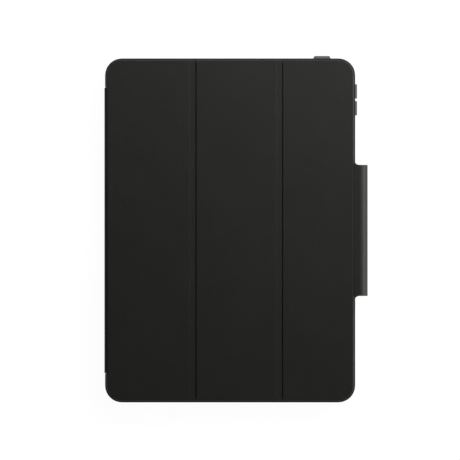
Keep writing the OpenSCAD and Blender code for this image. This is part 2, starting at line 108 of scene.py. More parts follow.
# Angles in degrees: faces that meet more sharply than CRISP shade apart, and edges
# sharper than CORNER are rounded
CRISP = 38
CORNER = 40


def box_of(node):
    """Lowest and highest corner of a node at rest, in millimetres."""
    lo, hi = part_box(node)
    return lo / MM, hi / MM


def low(node):
    return box_of(node)[0]


def high(node):
    return box_of(node)[1]


def middle(node):
    return (low(node) + high(node)) / 2


# ---- Sizes and colours that a user would change ----


class CoverSettings(bpy.types.PropertyGroup):
    colour: bpy.props.FloatVectorProperty(
        name="Leather colour", description="Colour of the synthetic leather outside",
        subtype="COLOR", size=3, min=0, max=1, default=(0.0106, 0.0106, 0.0095))
    lining: bpy.props.FloatVectorProperty(
        name="Lining colour", description="Colour of the napped lining",
        subtype="COLOR", size=3, min=0, max=1, default=(0.05, 0.05, 0.053))
    grain: bpy.props.FloatProperty(
        name="Grain size", description="Size of one pebble of the leather's grain",
        default=0.55 * MM, min=0.2 * MM, max=2 * MM, unit="LENGTH")
    edge_round: bpy.props.FloatProperty(
        name="Edge rounding", description="Radius of the cover's outer upper edge",
        default=0.85 * MM, min=0.5 * MM, max=2 * MM, unit="LENGTH")
    edge_ease: bpy.props.FloatProperty(
        name="Edge ease", description="How far the leather's edge is pressed in",
        default=0.3 * MM, min=0, max=0.6 * MM, unit="LENGTH")
    shoulder: bpy.props.FloatProperty(
        name="Fold shoulder", description="Radius of the leather at each fold groove",
        default=0.09 * MM, min=0.02 * MM, max=0.09 * MM, unit="LENGTH")
    ridge_drop: bpy.props.FloatProperty(
        name="Ridge drop", description="How far the leather drops off the board beside a fold",
        default=0.16 * MM, min=0, max=0.4 * MM, unit="LENGTH")
    ridge_reach: bpy.props.FloatProperty(
        name="Ridge distance", description="Distance of that drop from the fold's groove",
        default=4.5 * MM, min=2 * MM, max=8 * MM, unit="LENGTH")


class TraySettings(bpy.types.PropertyGroup):
    colour: bpy.props.FloatVectorProperty(
        name="Bumper colour", description="Colour of the flexible tray",
        subtype="COLOR", size=3, min=0, max=1, default=(0.009, 0.009, 0.0095))
    button: bpy.props.FloatVectorProperty(
        name="Button colour", description="Colour of the power and volume buttons",
        subtype="COLOR", size=3, min=0, max=1, default=(0.12, 0.12, 0.121))
    edge_round: bpy.props.FloatProperty(
        name="Edge rounding", description="Radius of the tray's moulded edges",
        default=0.2 * MM, min=0.1 * MM, max=0.2 * MM, unit="LENGTH")


class KeyboardSettings(bpy.types.PropertyGroup):
    shell: bpy.props.FloatVectorProperty(
        name="Shell colour", description="Colour of the keyboard's base",
        subtype="COLOR", size=3, min=0, max=1, default=(0.045, 0.045, 0.048))
    keys: bpy.props.FloatVectorProperty(
        name="Key colour", description="Colour of the key caps",
        subtype="COLOR", size=3, min=0, max=1, default=(0.012, 0.012, 0.013))
    legend: bpy.props.FloatVectorProperty(
        name="Legend colour", description="Colour of the letters on the keys",
        subtype="COLOR", size=3, min=0, max=1, default=(0.62, 0.62, 0.62))
    dish: bpy.props.FloatProperty(
        name="Key dish", description="Depth of the hollow in each key cap",
        default=0.12 * MM, min=0, max=0.3 * MM, unit="LENGTH")


class StageSettings(bpy.types.PropertyGroup):
    distance: bpy.props.FloatProperty(
        name="Camera distance", description="Distance of the camera above the cover",
        default=6.0, min=1, max=12, unit="LENGTH")
    field: bpy.props.FloatProperty(
        name="Picture width", description="Width that the picture takes in at the cover",
        default=0.3382, min=0.3, max=0.6, unit="LENGTH")
    aim: bpy.props.FloatVectorProperty(
        name="Camera aim", description="Where the camera looks, from the tray's middle",
        size=3, default=(-0.1 * MM, 0.3 * MM, 0), unit="LENGTH")
    floor: bpy.props.FloatVectorProperty(
        name="Floor colour", description="Colour of the pale floor",
        subtype="COLOR", size=3, min=0, max=1, default=(0.6, 0.6, 0.6))
    glow: bpy.props.FloatProperty(
        name="Floor glow", description="Share of plain white in the floor as it is seen",
        default=0.86, min=0, max=1)
    sky: bpy.props.FloatProperty(
        name="Sky strength", description="Strength of the even light from all round",
        default=0.035, min=0, max=2)


# ---- Finishes ----


def shader_of(name, colour, roughness, metallic=0.0, specular=0.5):
    """A new material with the values that are the same all over set on its shader."""
    material = bpy.data.materials.new(name)
    material.use_nodes = True
    shader = material.node_tree.nodes["Principled BSDF"]
    shader.inputs["Base Color"].default_value = (*colour, 1)
    shader.inputs["Roughness"].default_value = roughness
    shader.inputs["Metallic"].default_value = metallic
    shader.inputs["Specular IOR Level"].default_value = specular
    return material, shader


def texture(material, place, kind, size, **values):
    """A texture of one size, read in the piece's own coordinates."""
    nodes, links = material.node_tree.nodes, material.node_tree.links
    node = nodes.new(kind)
    node.inputs["Scale"].default_value = 1 / size
    for key, value in values.items():
        node.inputs[key].default_value = value
    links.new(place.outputs["Object"], node.inputs["Vector"])
    return node


def noise(material, place, size, detail, distortion=0.0):
    return texture(material, place, "ShaderNodeTexNoise", size, Detail=detail,
        Distortion=distortion)


def two_tone(material, shader, source, first, last):
    """Colour between two tones, each a share of the texture's range and its colour."""
    nodes, links = material.node_tree.nodes, material.node_tree.links
    ramp = nodes.new("ShaderNodeValToRGB")
    for stop, (share, colour) in zip(ramp.color_ramp.elements, (first, last)):
        stop.position = share
        stop.color = (*colour, 1)
    links.new(source.outputs["Fac"], ramp.inputs["Fac"])
    links.new(ramp.outputs["Color"], shader.inputs["Base Color"])


def mottle(material, shader, colour, amount, size):
    """Cloudy patches, light and dark by the given amount, and the place they are read at."""
    place = material.node_tree.nodes.new("ShaderNodeTexCoord")
    patches = noise(material, place, size, detail=5)
    darker, lighter = ([c * share for c in colour] for share in (1 - amount, 1 + amount))
    two_tone(material, shader, patches, (0.3, darker), (0.7, lighter))
    return place


def uneven_sheen(material, shader, place, size, lowest, highest):
    """Roughness that wanders between two values, as handled surfaces have."""
    nodes, links = material.node_tree.nodes, material.node_tree.links
    wear = noise(material, place, size, detail=4)
    spread = nodes.new("ShaderNodeMapRange")
    spread.inputs["To Min"].default_value = lowest
    spread.inputs["To Max"].default_value = highest
    links.new(wear.outputs["Fac"], spread.inputs["Value"])
    links.new(spread.outputs["Result"], shader.inputs["Roughness"])


def raised(material, shader, height, strength, depth, below=None):
    """Bump from a height socket, laid over another bump if one is given."""
    nodes, links = material.node_tree.nodes, material.node_tree.links
    bump = nodes.new("ShaderNodeBump")
    bump.inputs["Strength"].default_value = strength
    bump.inputs["Distance"].default_value = depth
    links.new(height, bump.inputs["Height"])
    if below is not None:
        links.new(below.outputs["Normal"], bump.inputs["Normal"])
    links.new(bump.outputs["Normal"], shader.inputs["Normal"])
    return bump


def leather():
    """Matte synthetic leather with a fine pebbled grain and faint creases."""
    settings = bpy.context.scene.case_cover
    material, shader = shader_of("synthetic_leather", settings.colour, 0.5, specular=0.32)
    place = mottle(material, shader, settings.colour, amount=0.07, size=22 * MM)
    uneven_sheen(material, shader, place, size=9 * MM, lowest=0.47, highest=0.56)
    cells = texture(material, place, "ShaderNodeTexVoronoi", size=settings.grain)
    cells.feature = "SMOOTH_F1"
    pebbles = raised(material, shader, cells.outputs["Distance"], strength=0.6,
        depth=0.09 * MM)
    creases = noise(material, place, size=3 * MM, detail=6, distortion=0.6)
    raised(material, shader, creases.outputs["Fac"], strength=0.2, depth=0.1 * MM,
        below=pebbles)
    return material


def bend_leather():
    """The same leather where it is thin and pressed at a fold, with its colour darkened as painted
    shade in the grooves and bends.
    """
    settings = bpy.context.scene.case_cover
    # The leather's colour is darkened here as painted shade in the fold grooves and bends.
    painted_groove_shade = 0.45
    colour = [c * painted_groove_shade for c in settings.colour]
    material, shader = shader_of("fold_leather_painted_shade", colour, 0.55, specular=0.28)
    place = mottle(material, shader, colour, amount=0.12, size=6 * MM)
    uneven_sheen(material, shader, place, size=3 * MM, lowest=0.5, highest=0.62)
    creases = noise(material, place, size=0.8 * MM, detail=5)
    raised(material, shader, creases.outputs["Fac"], strength=0.25, depth=0.06 * MM)
    return material


def microfibre():
    """Short napped lining: brushed patches, fine fibres and a soft sheen."""
    settings = bpy.context.scene.case_cover
    material, shader = shader_of("microfibre_lining", settings.lining, 0.95, specular=0.1)
    shader.inputs["Sheen Weight"].default_value = 0.25
    shader.inputs["Sheen Roughness"].default_value = 0.5
    place = mottle(material, shader, settings.lining, amount=0.12, size=9 * MM)
    fibres = noise(material, place, size=0.25 * MM, detail=8, distortion=1.5)
    raised(material, shader, fibres.outputs["Fac"], strength=0.45, depth=0.12 * MM)
    return material


def moulded(name, colour, roughness, pit=0.3 * MM, strength=0.12, specular=0.4):
    """Moulded plastic or rubber with the fine pitted texture of its mould."""
    material, shader = shader_of(name, colour, roughness, specular=specular)
    place = mottle(material, shader, colour, amount=0.05, size=12 * MM)
    uneven_sheen(material, shader, place, size=5 * MM, lowest=roughness - 0.04,
        highest=roughness + 0.05)
    pits = noise(material, place, size=pit, detail=6)
    raised(material, shader, pits.outputs["Fac"], strength, depth=0.04 * MM)
    return material


def metal(name, colour, roughness, tooth=0.15 * MM, strength=0.1):
    """Plated or blasted metal with a fine tooth."""
    material, shader = shader_of(name, colour, roughness, metallic=1.0)
    place = mottle(material, shader, colour, amount=0.06, size=8 * MM)
    uneven_sheen(material, shader, place, size=4 * MM, lowest=roughness - 0.05,
        highest=roughness + 0.06)
    teeth = noise(material, place, size=tooth, detail=4)
    raised(material, shader, teeth.outputs["Fac"], strength, depth=0.02 * MM)
    return material


def fibre_board():
    """Pressed grey board with flecks."""
    grey = (0.1, 0.1, 0.105)
    material, shader = shader_of("fibre_board", grey, 0.8, specular=0.2)
    place = mottle(material, shader, grey, amount=0.25, size=1.5 * MM)
    flecks = texture(material, place, "ShaderNodeTexVoronoi", size=0.8 * MM)
    raised(material, shader, flecks.outputs["Distance"], strength=0.2, depth=0.05 * MM)
    return material


def circuit_film():
    """Amber film with darker printed tracks."""
    amber, ink = (0.32, 0.2, 0.06), (0.12, 0.09, 0.06)
    material, shader = shader_of("circuit_film", amber, 0.35)
    place = material.node_tree.nodes.new("ShaderNodeTexCoord")
    tracks = texture(material, place, "ShaderNodeTexWave", size=6 * MM, Distortion=3.0,
        Detail=2.0)
    two_tone(material, shader, tracks, (0.42, amber), (0.5, ink))
    raised(material, shader, tracks.outputs["Fac"], strength=0.1, depth=0.02 * MM)
    return material


MATERIALS = {}


def finish_of(slot):
    """The material of a slot, made once."""
    if slot in MATERIALS:
        return MATERIALS[slot]
    scene = bpy.context.scene
    tray, board = scene.case_tray, scene.case_keyboard
    makers = {
        "cover_leather": leather,
        "hinge_web": bend_leather,
        "soft_lining": microfibre,
        "stiff_board": fibre_board,
        "circuit_film": circuit_film,
        "bumper": lambda: moulded("flexible_bumper", tray.colour, 0.62, pit=0.35 * MM,
            strength=0.25, specular=0.25),
        "camera_trim": lambda: moulded("camera_trim", (0.01, 0.01, 0.011), 0.35),
        "button": lambda: moulded("button_plastic", tray.button, 0.34, pit=0.2 * MM,
            strength=0.08),
        "magnet": lambda: metal("nickel_plate", (0.5, 0.5, 0.52), 0.25),
        "keyboard_shell": lambda: metal("blasted_shell", board.shell, 0.45,
            tooth=0.12 * MM, strength=0.3),
        "keyboard_top": lambda: moulded("keyboard_top", (0.03, 0.03, 0.032), 0.5),
        "dome_rubber": lambda: moulded("dome_silicone", (0.6, 0.6, 0.58), 0.5),
        "battery_foil": lambda: metal("battery_foil", (0.6, 0.61, 0.63), 0.3,
            tooth=2 * MM, strength=0.3),
        "circuit_board": lambda: moulded("circuit_board", (0.02, 0.11, 0.05), 0.35),
        "port_metal": lambda: metal("port_metal", (0.45, 0.45, 0.47), 0.25),
        "foot_rubber": lambda: moulded("foot_rubber", (0.012, 0.012, 0.013), 0.8),
        "screw_steel": lambda: metal("screw_steel", (0.35, 0.35, 0.36), 0.3),
        "light_lens": lambda: moulded("light_lens", (0.35, 0.6, 0.42), 0.3),
        "key_cap": lambda: moulded("key_plastic", board.keys, 0.48, pit=0.18 * MM,
            strength=0.18),
        "key_legend": lambda: moulded("legend_paint", board.legend, 0.6, pit=0.2 * MM,
            strength=0.1),
        "pad_surface": lambda: moulded("pad_surface", (0.026, 0.026, 0.028), 0.3,
            pit=0.1 * MM),
        "switch_knob": lambda: moulded("switch_knob", (0.2, 0.2, 0.21), 0.4),
    }
    MATERIALS[slot] = makers[slot]()
    return MATERIALS[slot]


# ---- Shaping, all in millimetres until a piece is finished ----


def prism(outline, z0, z1):
    """Upright solid over an outline of a few points."""
    bm = bmesh.new()
    base = bm.faces.new([bm.verts.new((x, y, z0)) for x, y in outline])
    made = bmesh.ops.extrude_face_region(bm, geom=[base])
    top = [v for v in made["geom"] if isinstance(v, bmesh.types.BMVert)]
    bmesh.ops.translate(bm, verts=top, vec=(0, 0, z1 - z0))
    bmesh.ops.recalc_face_normals(bm, faces=bm.faces)
    return bm


def slab(lo, hi):
    return prism([(lo.x, lo.y), (hi.x, lo.y), (hi.x, hi.y), (lo.x, hi.y)], lo.z, hi.z)


def round_edges(bm, edges, radius, segments, clamp=True):
    """Rounds edges. The clamp makes every radius as small as the tightest place needs."""
    return bmesh.ops.bevel(bm, geom=list(edges), offset=radius, offset_type="OFFSET",
        affect="EDGES", segments=segments, profile=0.5, material=-1, clamp_overlap=clamp)


def is_upright(edge):
    a, b = (v.co for v in edge.verts)
    return abs(a.x - b.x) < ON_POINT and abs(a.y - b.y) < ON_POINT


def round_corners(bm, places, radius, segments):
    """Rounds the upright edges that stand at the given places."""
    chosen = [e for e in bm.edges if is_upright(e) and any(
        abs(e.verts[0].co.x - x) < ON_SPOT and abs(e.verts[0].co.y - y) < ON_SPOT
        for x, y in places)]
    round_edges(bm, chosen, radius, segments)


def level_edges(bm, z):
    """The edges that lie at one height and border an upright face."""
    return [e for e in bm.edges if all(abs(v.co.z - z) < ON_LEVEL for v in e.verts)
        and any(abs(f.normal.z) < 0.5 for f in e.link_faces)]


def sharp_edges(bm, degrees):
    limit = math.radians(degrees)
    return [e for e in bm.edges if len(e.link_faces) == 2
        and e.calc_face_angle(0.0) > limit]


def cut_along(bm, axis, places):
    """Cuts the mesh by planes across the x, y or z axis."""
    direction = Vector([1.0 if name == axis else 0.0 for name in "xyz"])
    for place in places:
        bmesh.ops.bisect_plane(bm, geom=bm.verts[:] + bm.edges[:] + bm.faces[:],
            plane_co=direction * place, plane_no=direction, dist=ON_CUT)


def steps(first, last, count):
    """Evenly spaced places between two ends, without the ends."""
    return [first + (last - first) * i / (count + 1) for i in range(1, count + 1)]


def piece(name, bm, slots, body=None, nodes=(), even=True):
    """Turns a shape into a finished piece on its body, in metres, with its materials.
    """
    bmesh.ops.dissolve_degenerate(bm, dist=ON_POINT, edges=bm.edges)
    bmesh.ops.recalc_face_normals(bm, faces=bm.faces)
    limit = math.radians(CRISP)
    for face in bm.faces:
        face.smooth = True
    for edge in bm.edges:
        edge.smooth = len(edge.link_faces) == 2 and edge.calc_face_angle(0.0) < limit
    bmesh.ops.scale(bm, vec=(MM, MM, MM), verts=bm.verts)
    mesh = bpy.data.meshes.new(name)
    bm.to_mesh(mesh)
    bm.free()
    obj = bpy.data.objects.new(name, mesh)
    bpy.context.scene.collection.objects.link(obj)
    for slot in slots:
        mesh.materials.append(finish_of(slot))
    if even:
        obj.modifiers.new("Even shading", "WEIGHTED_NORMAL").keep_sharp = True
    if body:
        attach(obj, body)
    if nodes:
        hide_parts(*nodes)
    return obj


def body_of_node(node):
    return frame["nodes"][node]["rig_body"]


def merged_copy(node):
    """A node's mesh in millimetres, with its loose triangles joined into clean faces."""
    bm = bmesh.new()
    bm.from_mesh(frame["nodes"][node].data)
    bmesh.ops.scale(bm, vec=(1 / MM,) * 3, verts=bm.verts)
    bmesh.ops.remove_doubles(bm, verts=bm.verts, dist=ON_LEVEL)
    bmesh.ops.dissolve_limit(bm, angle_limit=math.radians(1), verts=bm.verts,
        edges=bm.edges)
    return bm


def softened(node, slot, radius, segments=2):
    """A piece of a node's own shape with its sharp edges rounded as a moulding's are."""
    bm = merged_copy(node)
    round_edges(bm, sharp_edges(bm, CORNER), radius, segments, clamp=False)
    return piece(node + "_shape", bm, [slot], body_of_node(node), [node])


def solids_of(node):
    """The boxes of a node's separate solids, from -Y to +Y and then from -X to +X."""
    bm = merged_copy(node)
    left, boxes = set(bm.verts), []
    while left:
        reached, to_visit = set(), [left.pop()]
        while to_visit:
            vert = to_visit.pop()
            reached.add(vert)
            for edge in vert.link_edges:
                other = edge.other_vert(vert)
                if other in left:
                    left.discard(other)
                    to_visit.append(other)
        spots = [v.co for v in reached]
        boxes.append((Vector([min(c[i] for c in spots) for i in range(3)]),
            Vector([max(c[i] for c in spots) for i in range(3)])))
    bm.free()
    return sorted(boxes, key=lambda b: (round(b[0].y), b[0].x))


def joined(parts):
    """One shape from several."""
    whole = bmesh.new()
    for part in parts:
        mesh = bpy.data.meshes.new("part")
        part.to_mesh(mesh)
        part.free()
        whole.from_mesh(mesh)
        bpy.data.meshes.remove(mesh)
    return whole


def extruded(bm, face, move):
    """Extrudes one face along a line, and gives the new end face."""
    made = bmesh.ops.extrude_face_region(bm, geom=[face])
    verts = [v for v in made["geom"] if isinstance(v, bmesh.types.BMVert)]
    bmesh.ops.translate(bm, verts=verts, vec=move)
    if face.is_valid:
        bmesh.ops.delete(bm, geom=[face], context="FACES_ONLY")
    return next(g for g in made["geom"] if isinstance(g, bmesh.types.BMFace))


def bent(bm, face, centre, degrees, count):
    """Extrudes one face round an axis along Y, and gives the new end face."""
    made = bmesh.ops.spin(bm, geom=[face], cent=centre, axis=(0, 1, 0),
        angle=math.radians(degrees), steps=count, use_merge=False)
    if face.is_valid:
        bmesh.ops.delete(bm, geom=[face], context="FACES_ONLY")
    return next(g for g in made["geom_last"] if isinstance(g, bmesh.types.BMFace))


# ---- Cover ----


def notch_out(bm, x, half, outer):
    """Cuts the panel's edge back to x between -half and half, and rounds the new edge."""

    def past_cut(vert):
        return (vert.co.x - x) * outer > -ON_POINT

    def on_cut(vert):
        return abs(vert.co.x - x) < ON_POINT

    def at_end(vert, side):
        return abs(vert.co.y - side * half) < ON_POINT

    def between(face):
        return all(abs(v.co.y) < half + ON_SPOT for v in face.verts)

    cut_along(bm, "y", [-half, half])
    band = [f for f in bm.faces if between(f)]
    around = {part for f in band for part in (*f.edges, *f.verts)}
    bmesh.ops.bisect_plane(bm, geom=[*band, *around], plane_co=(x, 0, 0),
        plane_no=(1, 0, 0), dist=ON_CUT)
    beyond = [f for f in bm.faces if between(f) and all(past_cut(v) for v in f.verts)]
    bmesh.ops.delete(bm, geom=beyond, context="FACES")
    for side in (-1, 1):
        ends = [v for v in bm.verts if on_cut(v) and at_end(v, side) and v.is_boundary]
        bm.edges.new((max(ends, key=lambda v: v.co.z), min(ends, key=lambda v: v.co.z)))
        bmesh.ops.contextual_create(bm, geom=[e for e in bm.edges
            if len(e.link_faces) < 2 and all(at_end(v, side) and past_cut(v) for v in e.verts)])
    bmesh.ops.contextual_create(bm, geom=[e for e in bm.edges
        if len(e.link_faces) < 2 and all(on_cut(v) for v in e.verts)])
    top = max(v.co.z for v in bm.verts if on_cut(v))
    rim = [e for e in bm.edges
        if all(on_cut(v) and abs(v.co.z - top) < ON_LEVEL for v in e.verts)]
    round_edges(bm, rim, radius=0.3, segments=3)


def panel_shape(node, outer, ridge_at=None, notch=None):
    """One leather-covered panel: round outer edges, crisp sides at its folds.

    outer is -1 or 1 for the side that is the cover's edge, or 0 for the middle panel.
    ridge_at is the x of the fold beside which the leather drops off the board.
    notch is (x, half length) where a hinge strip takes the place of the edge.
    """
    settings = bpy.context.scene.case_cover
    corner_radius, over_groove = 11.6, 0.33
    turn_in, turn_in_wall, lining_recess = 1.1, 0.02, 0.35
    ease = settings.edge_ease / MM
    lo, hi = low(node) + Vector((0, ease, 0)), high(node) - Vector((0, ease, 0))
    x0 = lo.x + ease if outer < 0 else lo.x - over_groove
    x1 = hi.x - ease if outer > 0 else hi.x + over_groove
    bm = prism([(x0, lo.y), (x1, lo.y), (x1, hi.y), (x0, hi.y)], lo.z, hi.z)
    if outer:
        x = x0 if outer < 0 else x1
        round_corners(bm, [(x, lo.y), (x, hi.y)], corner_radius, segments=16)
    folds = [x for x, side in ((x0, -1), (x1, 1)) if side != outer]

    def on_fold(edge):
        return any(all(abs(v.co.x - x) < ON_LEVEL for v in edge.verts) for x in folds)

    rim = [e for e in level_edges(bm, hi.z) if not on_fold(e)]
    round_edges(bm, rim, settings.edge_round / MM, segments=6)
    under = [e for e in level_edges(bm, lo.z) if not on_fold(e)]
    round_edges(bm, under, radius=0.3, segments=2)
    above_turn_in, above_lining = lo.z + 0.5, lo.z + 1
    shoulders = [e for e in bm.edges if on_fold(e) and len(e.link_faces) == 2
        and e.calc_face_angle(0.0) > 1 and max(v.co.z for v in e.verts) > above_turn_in]
    round_edges(bm, shoulders, settings.shoulder / MM, segments=3)
    bm.normal_update()
    underside = min(bm.faces, key=lambda f: f.normal.z * f.calc_area())
    bmesh.ops.inset_region(bm, faces=[underside], thickness=turn_in, depth=0)
    bmesh.ops.inset_region(bm, faces=[underside], thickness=turn_in_wall,
        depth=-lining_recess)
    if notch:
        notch_out(bm, *notch, outer)
    if ridge_at is not None:
        lower_beside_fold(bm, ridge_at, above_lining)
    return bm


def lower_beside_fold(bm, fold, above):
    """Drops the leather near a fold, half of the way first, where it leaves the board."""
    settings = bpy.context.scene.case_cover
    start, slope, near_start = fold - settings.ridge_reach / MM, 0.5, 0.1
    cut_along(bm, "x", [start - slope, start, start + slope])
    for vert in bm.verts:
        if vert.co.z > above and vert.co.x > start - near_start:
            part = 0.5 if vert.co.x < start + near_start else 1
            vert.co.z -= settings.ridge_drop / MM * part


class CASE_OT_cover_panels(bpy.types.Operator):
    """Model the three leather-covered panels of the cover"""

    bl_idname = "case.cover_panels"
    bl_label = "Cover panels"

    def execute(self, context):
        end_gap, spine_gap, clasp_overlap = 0.3, 0.6, 0.1
        _, spine_strip = box_of("front_hinge_strip")
        spine_notch = (spine_strip.x + spine_gap, spine_strip.y + end_gap)
        clasp_strip, strip_end = box_of("clasp_hinge_strip")
        clasp_notch = (clasp_strip.x + clasp_overlap, strip_end.y + end_gap)
        panels = (
            ("left_panel", -1, middle("left_fold_strip").x, spine_notch),
            ("middle_panel", 0, middle("right_fold_strip").x, None),
            ("right_panel", 1, None, clasp_notch),
        )
        for panel, outer, fold, notch in panels:
            node = panel + "_skin"
            piece(panel + "_leather", panel_shape(node, outer, fold, notch),
                ["cover_leather"], body_of_node(node), [node])
        for panel, *_ in panels:
            softened(panel + "_lining", "soft_lining", radius=0.12)
        return {"FINISHED"}


# How a fold web ends, near and far: how far in it starts to rise and to roll over, in
# millimetres, and its share of the whole rise. The near end is pulled tighter.
WEB_ENDS = {-1: (2.4, 1.2, 0.5), 1: (3.6, 2.4, 1)}
# Distances from each end at which the web is cut across, so that it can curve there
WEB_CUTS = (0.1, 0.3, 0.6, 1, 1.5, 2, 2.4, 2.8, 3.2, 3.6, 4.2, 4.8)


def web_shape(x, half_width, reach, bottom, top, end_top):
    """The thin leather in a fold's groove, which rises at its ends and rolls over the edge."""
    roll_drop, above_bottom = 1.3, bottom + 0.1
    bm = slab(Vector((x - half_width, -reach, bottom)), Vector((x + half_width, reach, top)))
    cut_along(bm, "x", steps(x - half_width, x + half_width, count=11))
    cut_along(bm, "y", [side * (reach - inside) for side in WEB_ENDS for inside in WEB_CUTS])
    for vert in bm.verts:
        if vert.co.z > above_bottom:
            inside = reach - abs(vert.co.y)
            rise_start, roll, height = WEB_ENDS[-1 if vert.co.y < 0 else 1]
            rise = min(1, max(0, (rise_start - inside) / (rise_start - roll)))
            vert.co.z += height * (end_top - top) * rise * rise * (3 - 2 * rise)
            over = max(0, roll - inside) / roll
            vert.co.z -= roll_drop * (1 - math.sqrt(1 - over * over))
    for face in bm.faces:
        face.material_index = 1 if face.normal.z < -0.5 else 0
    return bm


class CASE_OT_fold_webs(bpy.types.Operator):
    """Model the flexible leather of the two folds"""

    bl_idname = "case.fold_webs"
    bl_label = "Fold webs"

    def execute(self, context):
        lo, hi = box_of("middle_panel_skin")
        half_width, half_bend = 1.1, 0.75
        inside_edge, under_recess, groove_recess, end_recess = 0.1, 0.15, 0.45, 0.25
        reach = hi.y - context.scene.case_cover.edge_ease / MM - inside_edge
        bottom, top = lo.z + under_recess, high("left_fold_strip").z - groove_recess
        end_top = hi.z - end_recess
        for fold, a, b in (("left_fold", "left_panel", "middle_panel"),
                ("right_fold", "middle_panel", "right_panel")):
            x = middle(fold + "_strip").x
            web = piece(fold + "_web", web_shape(x, half_width, reach, bottom, top, end_top),
                ["hinge_web", "soft_lining"], even=False)
            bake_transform(web)
            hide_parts(fold + "_strip")
        return {"FINISHED"}


# ---- Spine ----


def bent_sheet(start, half, z0, z1, centre, degrees, climb):
    """A strip of leather that runs level to the bend, round it, and then up or down."""
    bm = bmesh.new()
    face = bm.faces.new([bm.verts.new(corner) for corner in (
        (start, -half, z0), (start, half, z0), (start, half, z1), (start, -half, z1))])
    face = extruded(bm, face, (centre.x - start, 0, 0))
    face = bent(bm, face, centre, degrees, count=8)
    extruded(bm, face, (0, 0, climb))
    bmesh.ops.holes_fill(bm, edges=bm.edges)
    return bm


class CASE_OT_spine(bpy.types.Operator):
    """Model the spine strip and the leather that bends into the cover and the back"""

    bl_idname = "case.spine"
    bl_label = "Spine"

    def execute(self, context):
        lo, hi = box_of("spine_skin")
        bm = slab(lo, hi)
        cut_along(bm, "z", steps(lo.z, hi.z, count=5))
        ends = [e for e in sharp_edges(bm, CORNER)
            if all(abs(abs(v.co.y) - hi.y) < ON_SPOT for v in e.verts)]
        round_edges(bm, ends, radius=0.25, segments=2)
        piece("spine_leather", bm, ["cover_leather"], "spine", ["spine_skin"])
        softened("spine_lining", "soft_lining", radius=0.08)
        self.front_bend()
        self.back_bend()
        return {"FINISHED"}

    def front_bend(self):
        """From the spine's top edge round to the left panel."""
        strip_lo, strip_hi = box_of("front_hinge_strip")
        radius, thick, below_strip = 1.55, 0.8, 0.15
        level_run, held_run = 1.1, 0.2
        centre = Vector((strip_lo.x + radius, 0, strip_hi.z - below_strip - radius))
        start, top = centre.x + level_run, centre.z + radius
        bm = bent_sheet(start, strip_hi.y, top - thick, top, centre, -90,
            high("spine_skin").z - centre.z)
        cut_along(bm, "x", steps(centre.x, start, count=2))
        bend = piece("front_hinge_bend", bm, ["hinge_web"], even=False)
        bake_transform(bend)
        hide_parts("front_hinge_strip")

    def back_bend(self):
        """From the spine's bottom edge round to the back."""
        strip_lo, strip_hi = box_of("back_hinge_strip")
        radius, thick, bottom = 0.75, 0.55, 0.05
        level_run, into_spine = 0.9, 0.02
        centre = Vector((strip_lo.x + radius, 0, bottom + radius))
        bm = bent_sheet(centre.x + level_run, strip_hi.y, bottom, bottom + thick, centre, 90,
            low("spine_skin").z - centre.z + into_spine)
        bend = piece("back_hinge_bend", bm, ["hinge_web"], even=False)
        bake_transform(bend)
        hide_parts("back_hinge_strip")


# ---- Clasp ----


class CASE_OT_clasp(bpy.types.Operator):
    """Model the flap that wraps round the pencil at the case's side"""

    bl_idname = "case.clasp"
    bl_label = "Clasp"

    def execute(self, context):
        lo, hi = box_of("clasp_strap")
        root_radius, upper_radius, lower_radius, root_end = 3.8, 6, 4.6, 0.05
        thick, under_panel, into_panel, off_panel, root_start = 1.3, 0.35, 0.3, 0.03, 0.02
        half = hi.y - root_radius
        top = hi.z - under_panel
        start = lo.x - into_panel
        rim = high("right_panel_skin").x + off_panel
        edge = rim + root_start
        upper_centre = (hi.x - upper_radius, 0, top - upper_radius)
        bend_x = upper_centre[0]
        bm = prism([(start, -half), (rim, -half), (rim, -hi.y), (edge, -hi.y),
            (edge, -half), (bend_x, -half), (bend_x, half), (edge, half), (edge, hi.y),
            (rim, hi.y), (rim, half), (start, half)], top - thick, top)
        round_corners(bm, [(edge, -half), (edge, half)], root_radius - root_end, segments=8)
        bm.normal_update()
        face = next(f for f in bm.faces if f.normal.x > 0.9
            and all(abs(v.co.x - bend_x) < ON_SPOT for v in f.verts))
        face = bent(bm, face, upper_centre, degrees=90, count=12)
        lower_centre = Vector((hi.x - lower_radius, 0, lo.z + lower_radius))
        face = extruded(bm, face, (0, 0, lower_centre.z - upper_centre[2]))
        face = bent(bm, face, lower_centre, degrees=90, count=12)
        extruded(bm, face, (low("clasp_lining").x - lower_centre.x, 0, 0))
        bmesh.ops.remove_doubles(bm, verts=bm.verts, dist=ON_LEVEL)
        bmesh.ops.recalc_face_normals(bm, faces=bm.faces)
        past_root = edge + 0.5
        edges = [e for e in sharp_edges(bm, degrees=50)
            if max(v.co.x for v in e.verts) > past_root]
        round_edges(bm, edges, radius=0.15, segments=3)
        piece("clasp_leather", bm, ["cover_leather"], "clasp", ["clasp_strap"])
        softened("clasp_lining", "soft_lining", radius=0.1)
        self.crease(top)
        return {"FINISHED"}

    def crease(self, top):
        """The thin leather between the cover's edge and the flap."""
        lo, hi = box_of("clasp_hinge_strip")
        overlap, thick, under_flap = 0.3, 0.9, 0.02
        x0, x1 = lo.x - overlap, hi.x + overlap
        bm = slab(Vector((x0, -hi.y, top - thick)), Vector((x1, hi.y, top - under_flap)))
        cut_along(bm, "x", steps(x0, x1, count=9))
        crease = piece("clasp_crease", bm, ["hinge_web"], even=False)
        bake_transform(crease)
        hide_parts("clasp_hinge_strip")


# ---- Tray ----


class CASE_OT_tray(bpy.types.Operator):
    """Model the moulded tray, its back, liner and camera trim"""

    bl_idname = "case.tray"
    bl_label = "Tray"

    def execute(self, context):
        softened("tray_bumper", "bumper", radius=context.scene.case_tray.edge_round / MM,
            segments=3)
        softened("back_skin", "cover_leather", radius=0.2)
        softened("tray_liner", "soft_lining", radius=0.12)
        softened("camera_frame", "camera_trim", radius=0.3, segments=3)
        return {"FINISHED"}


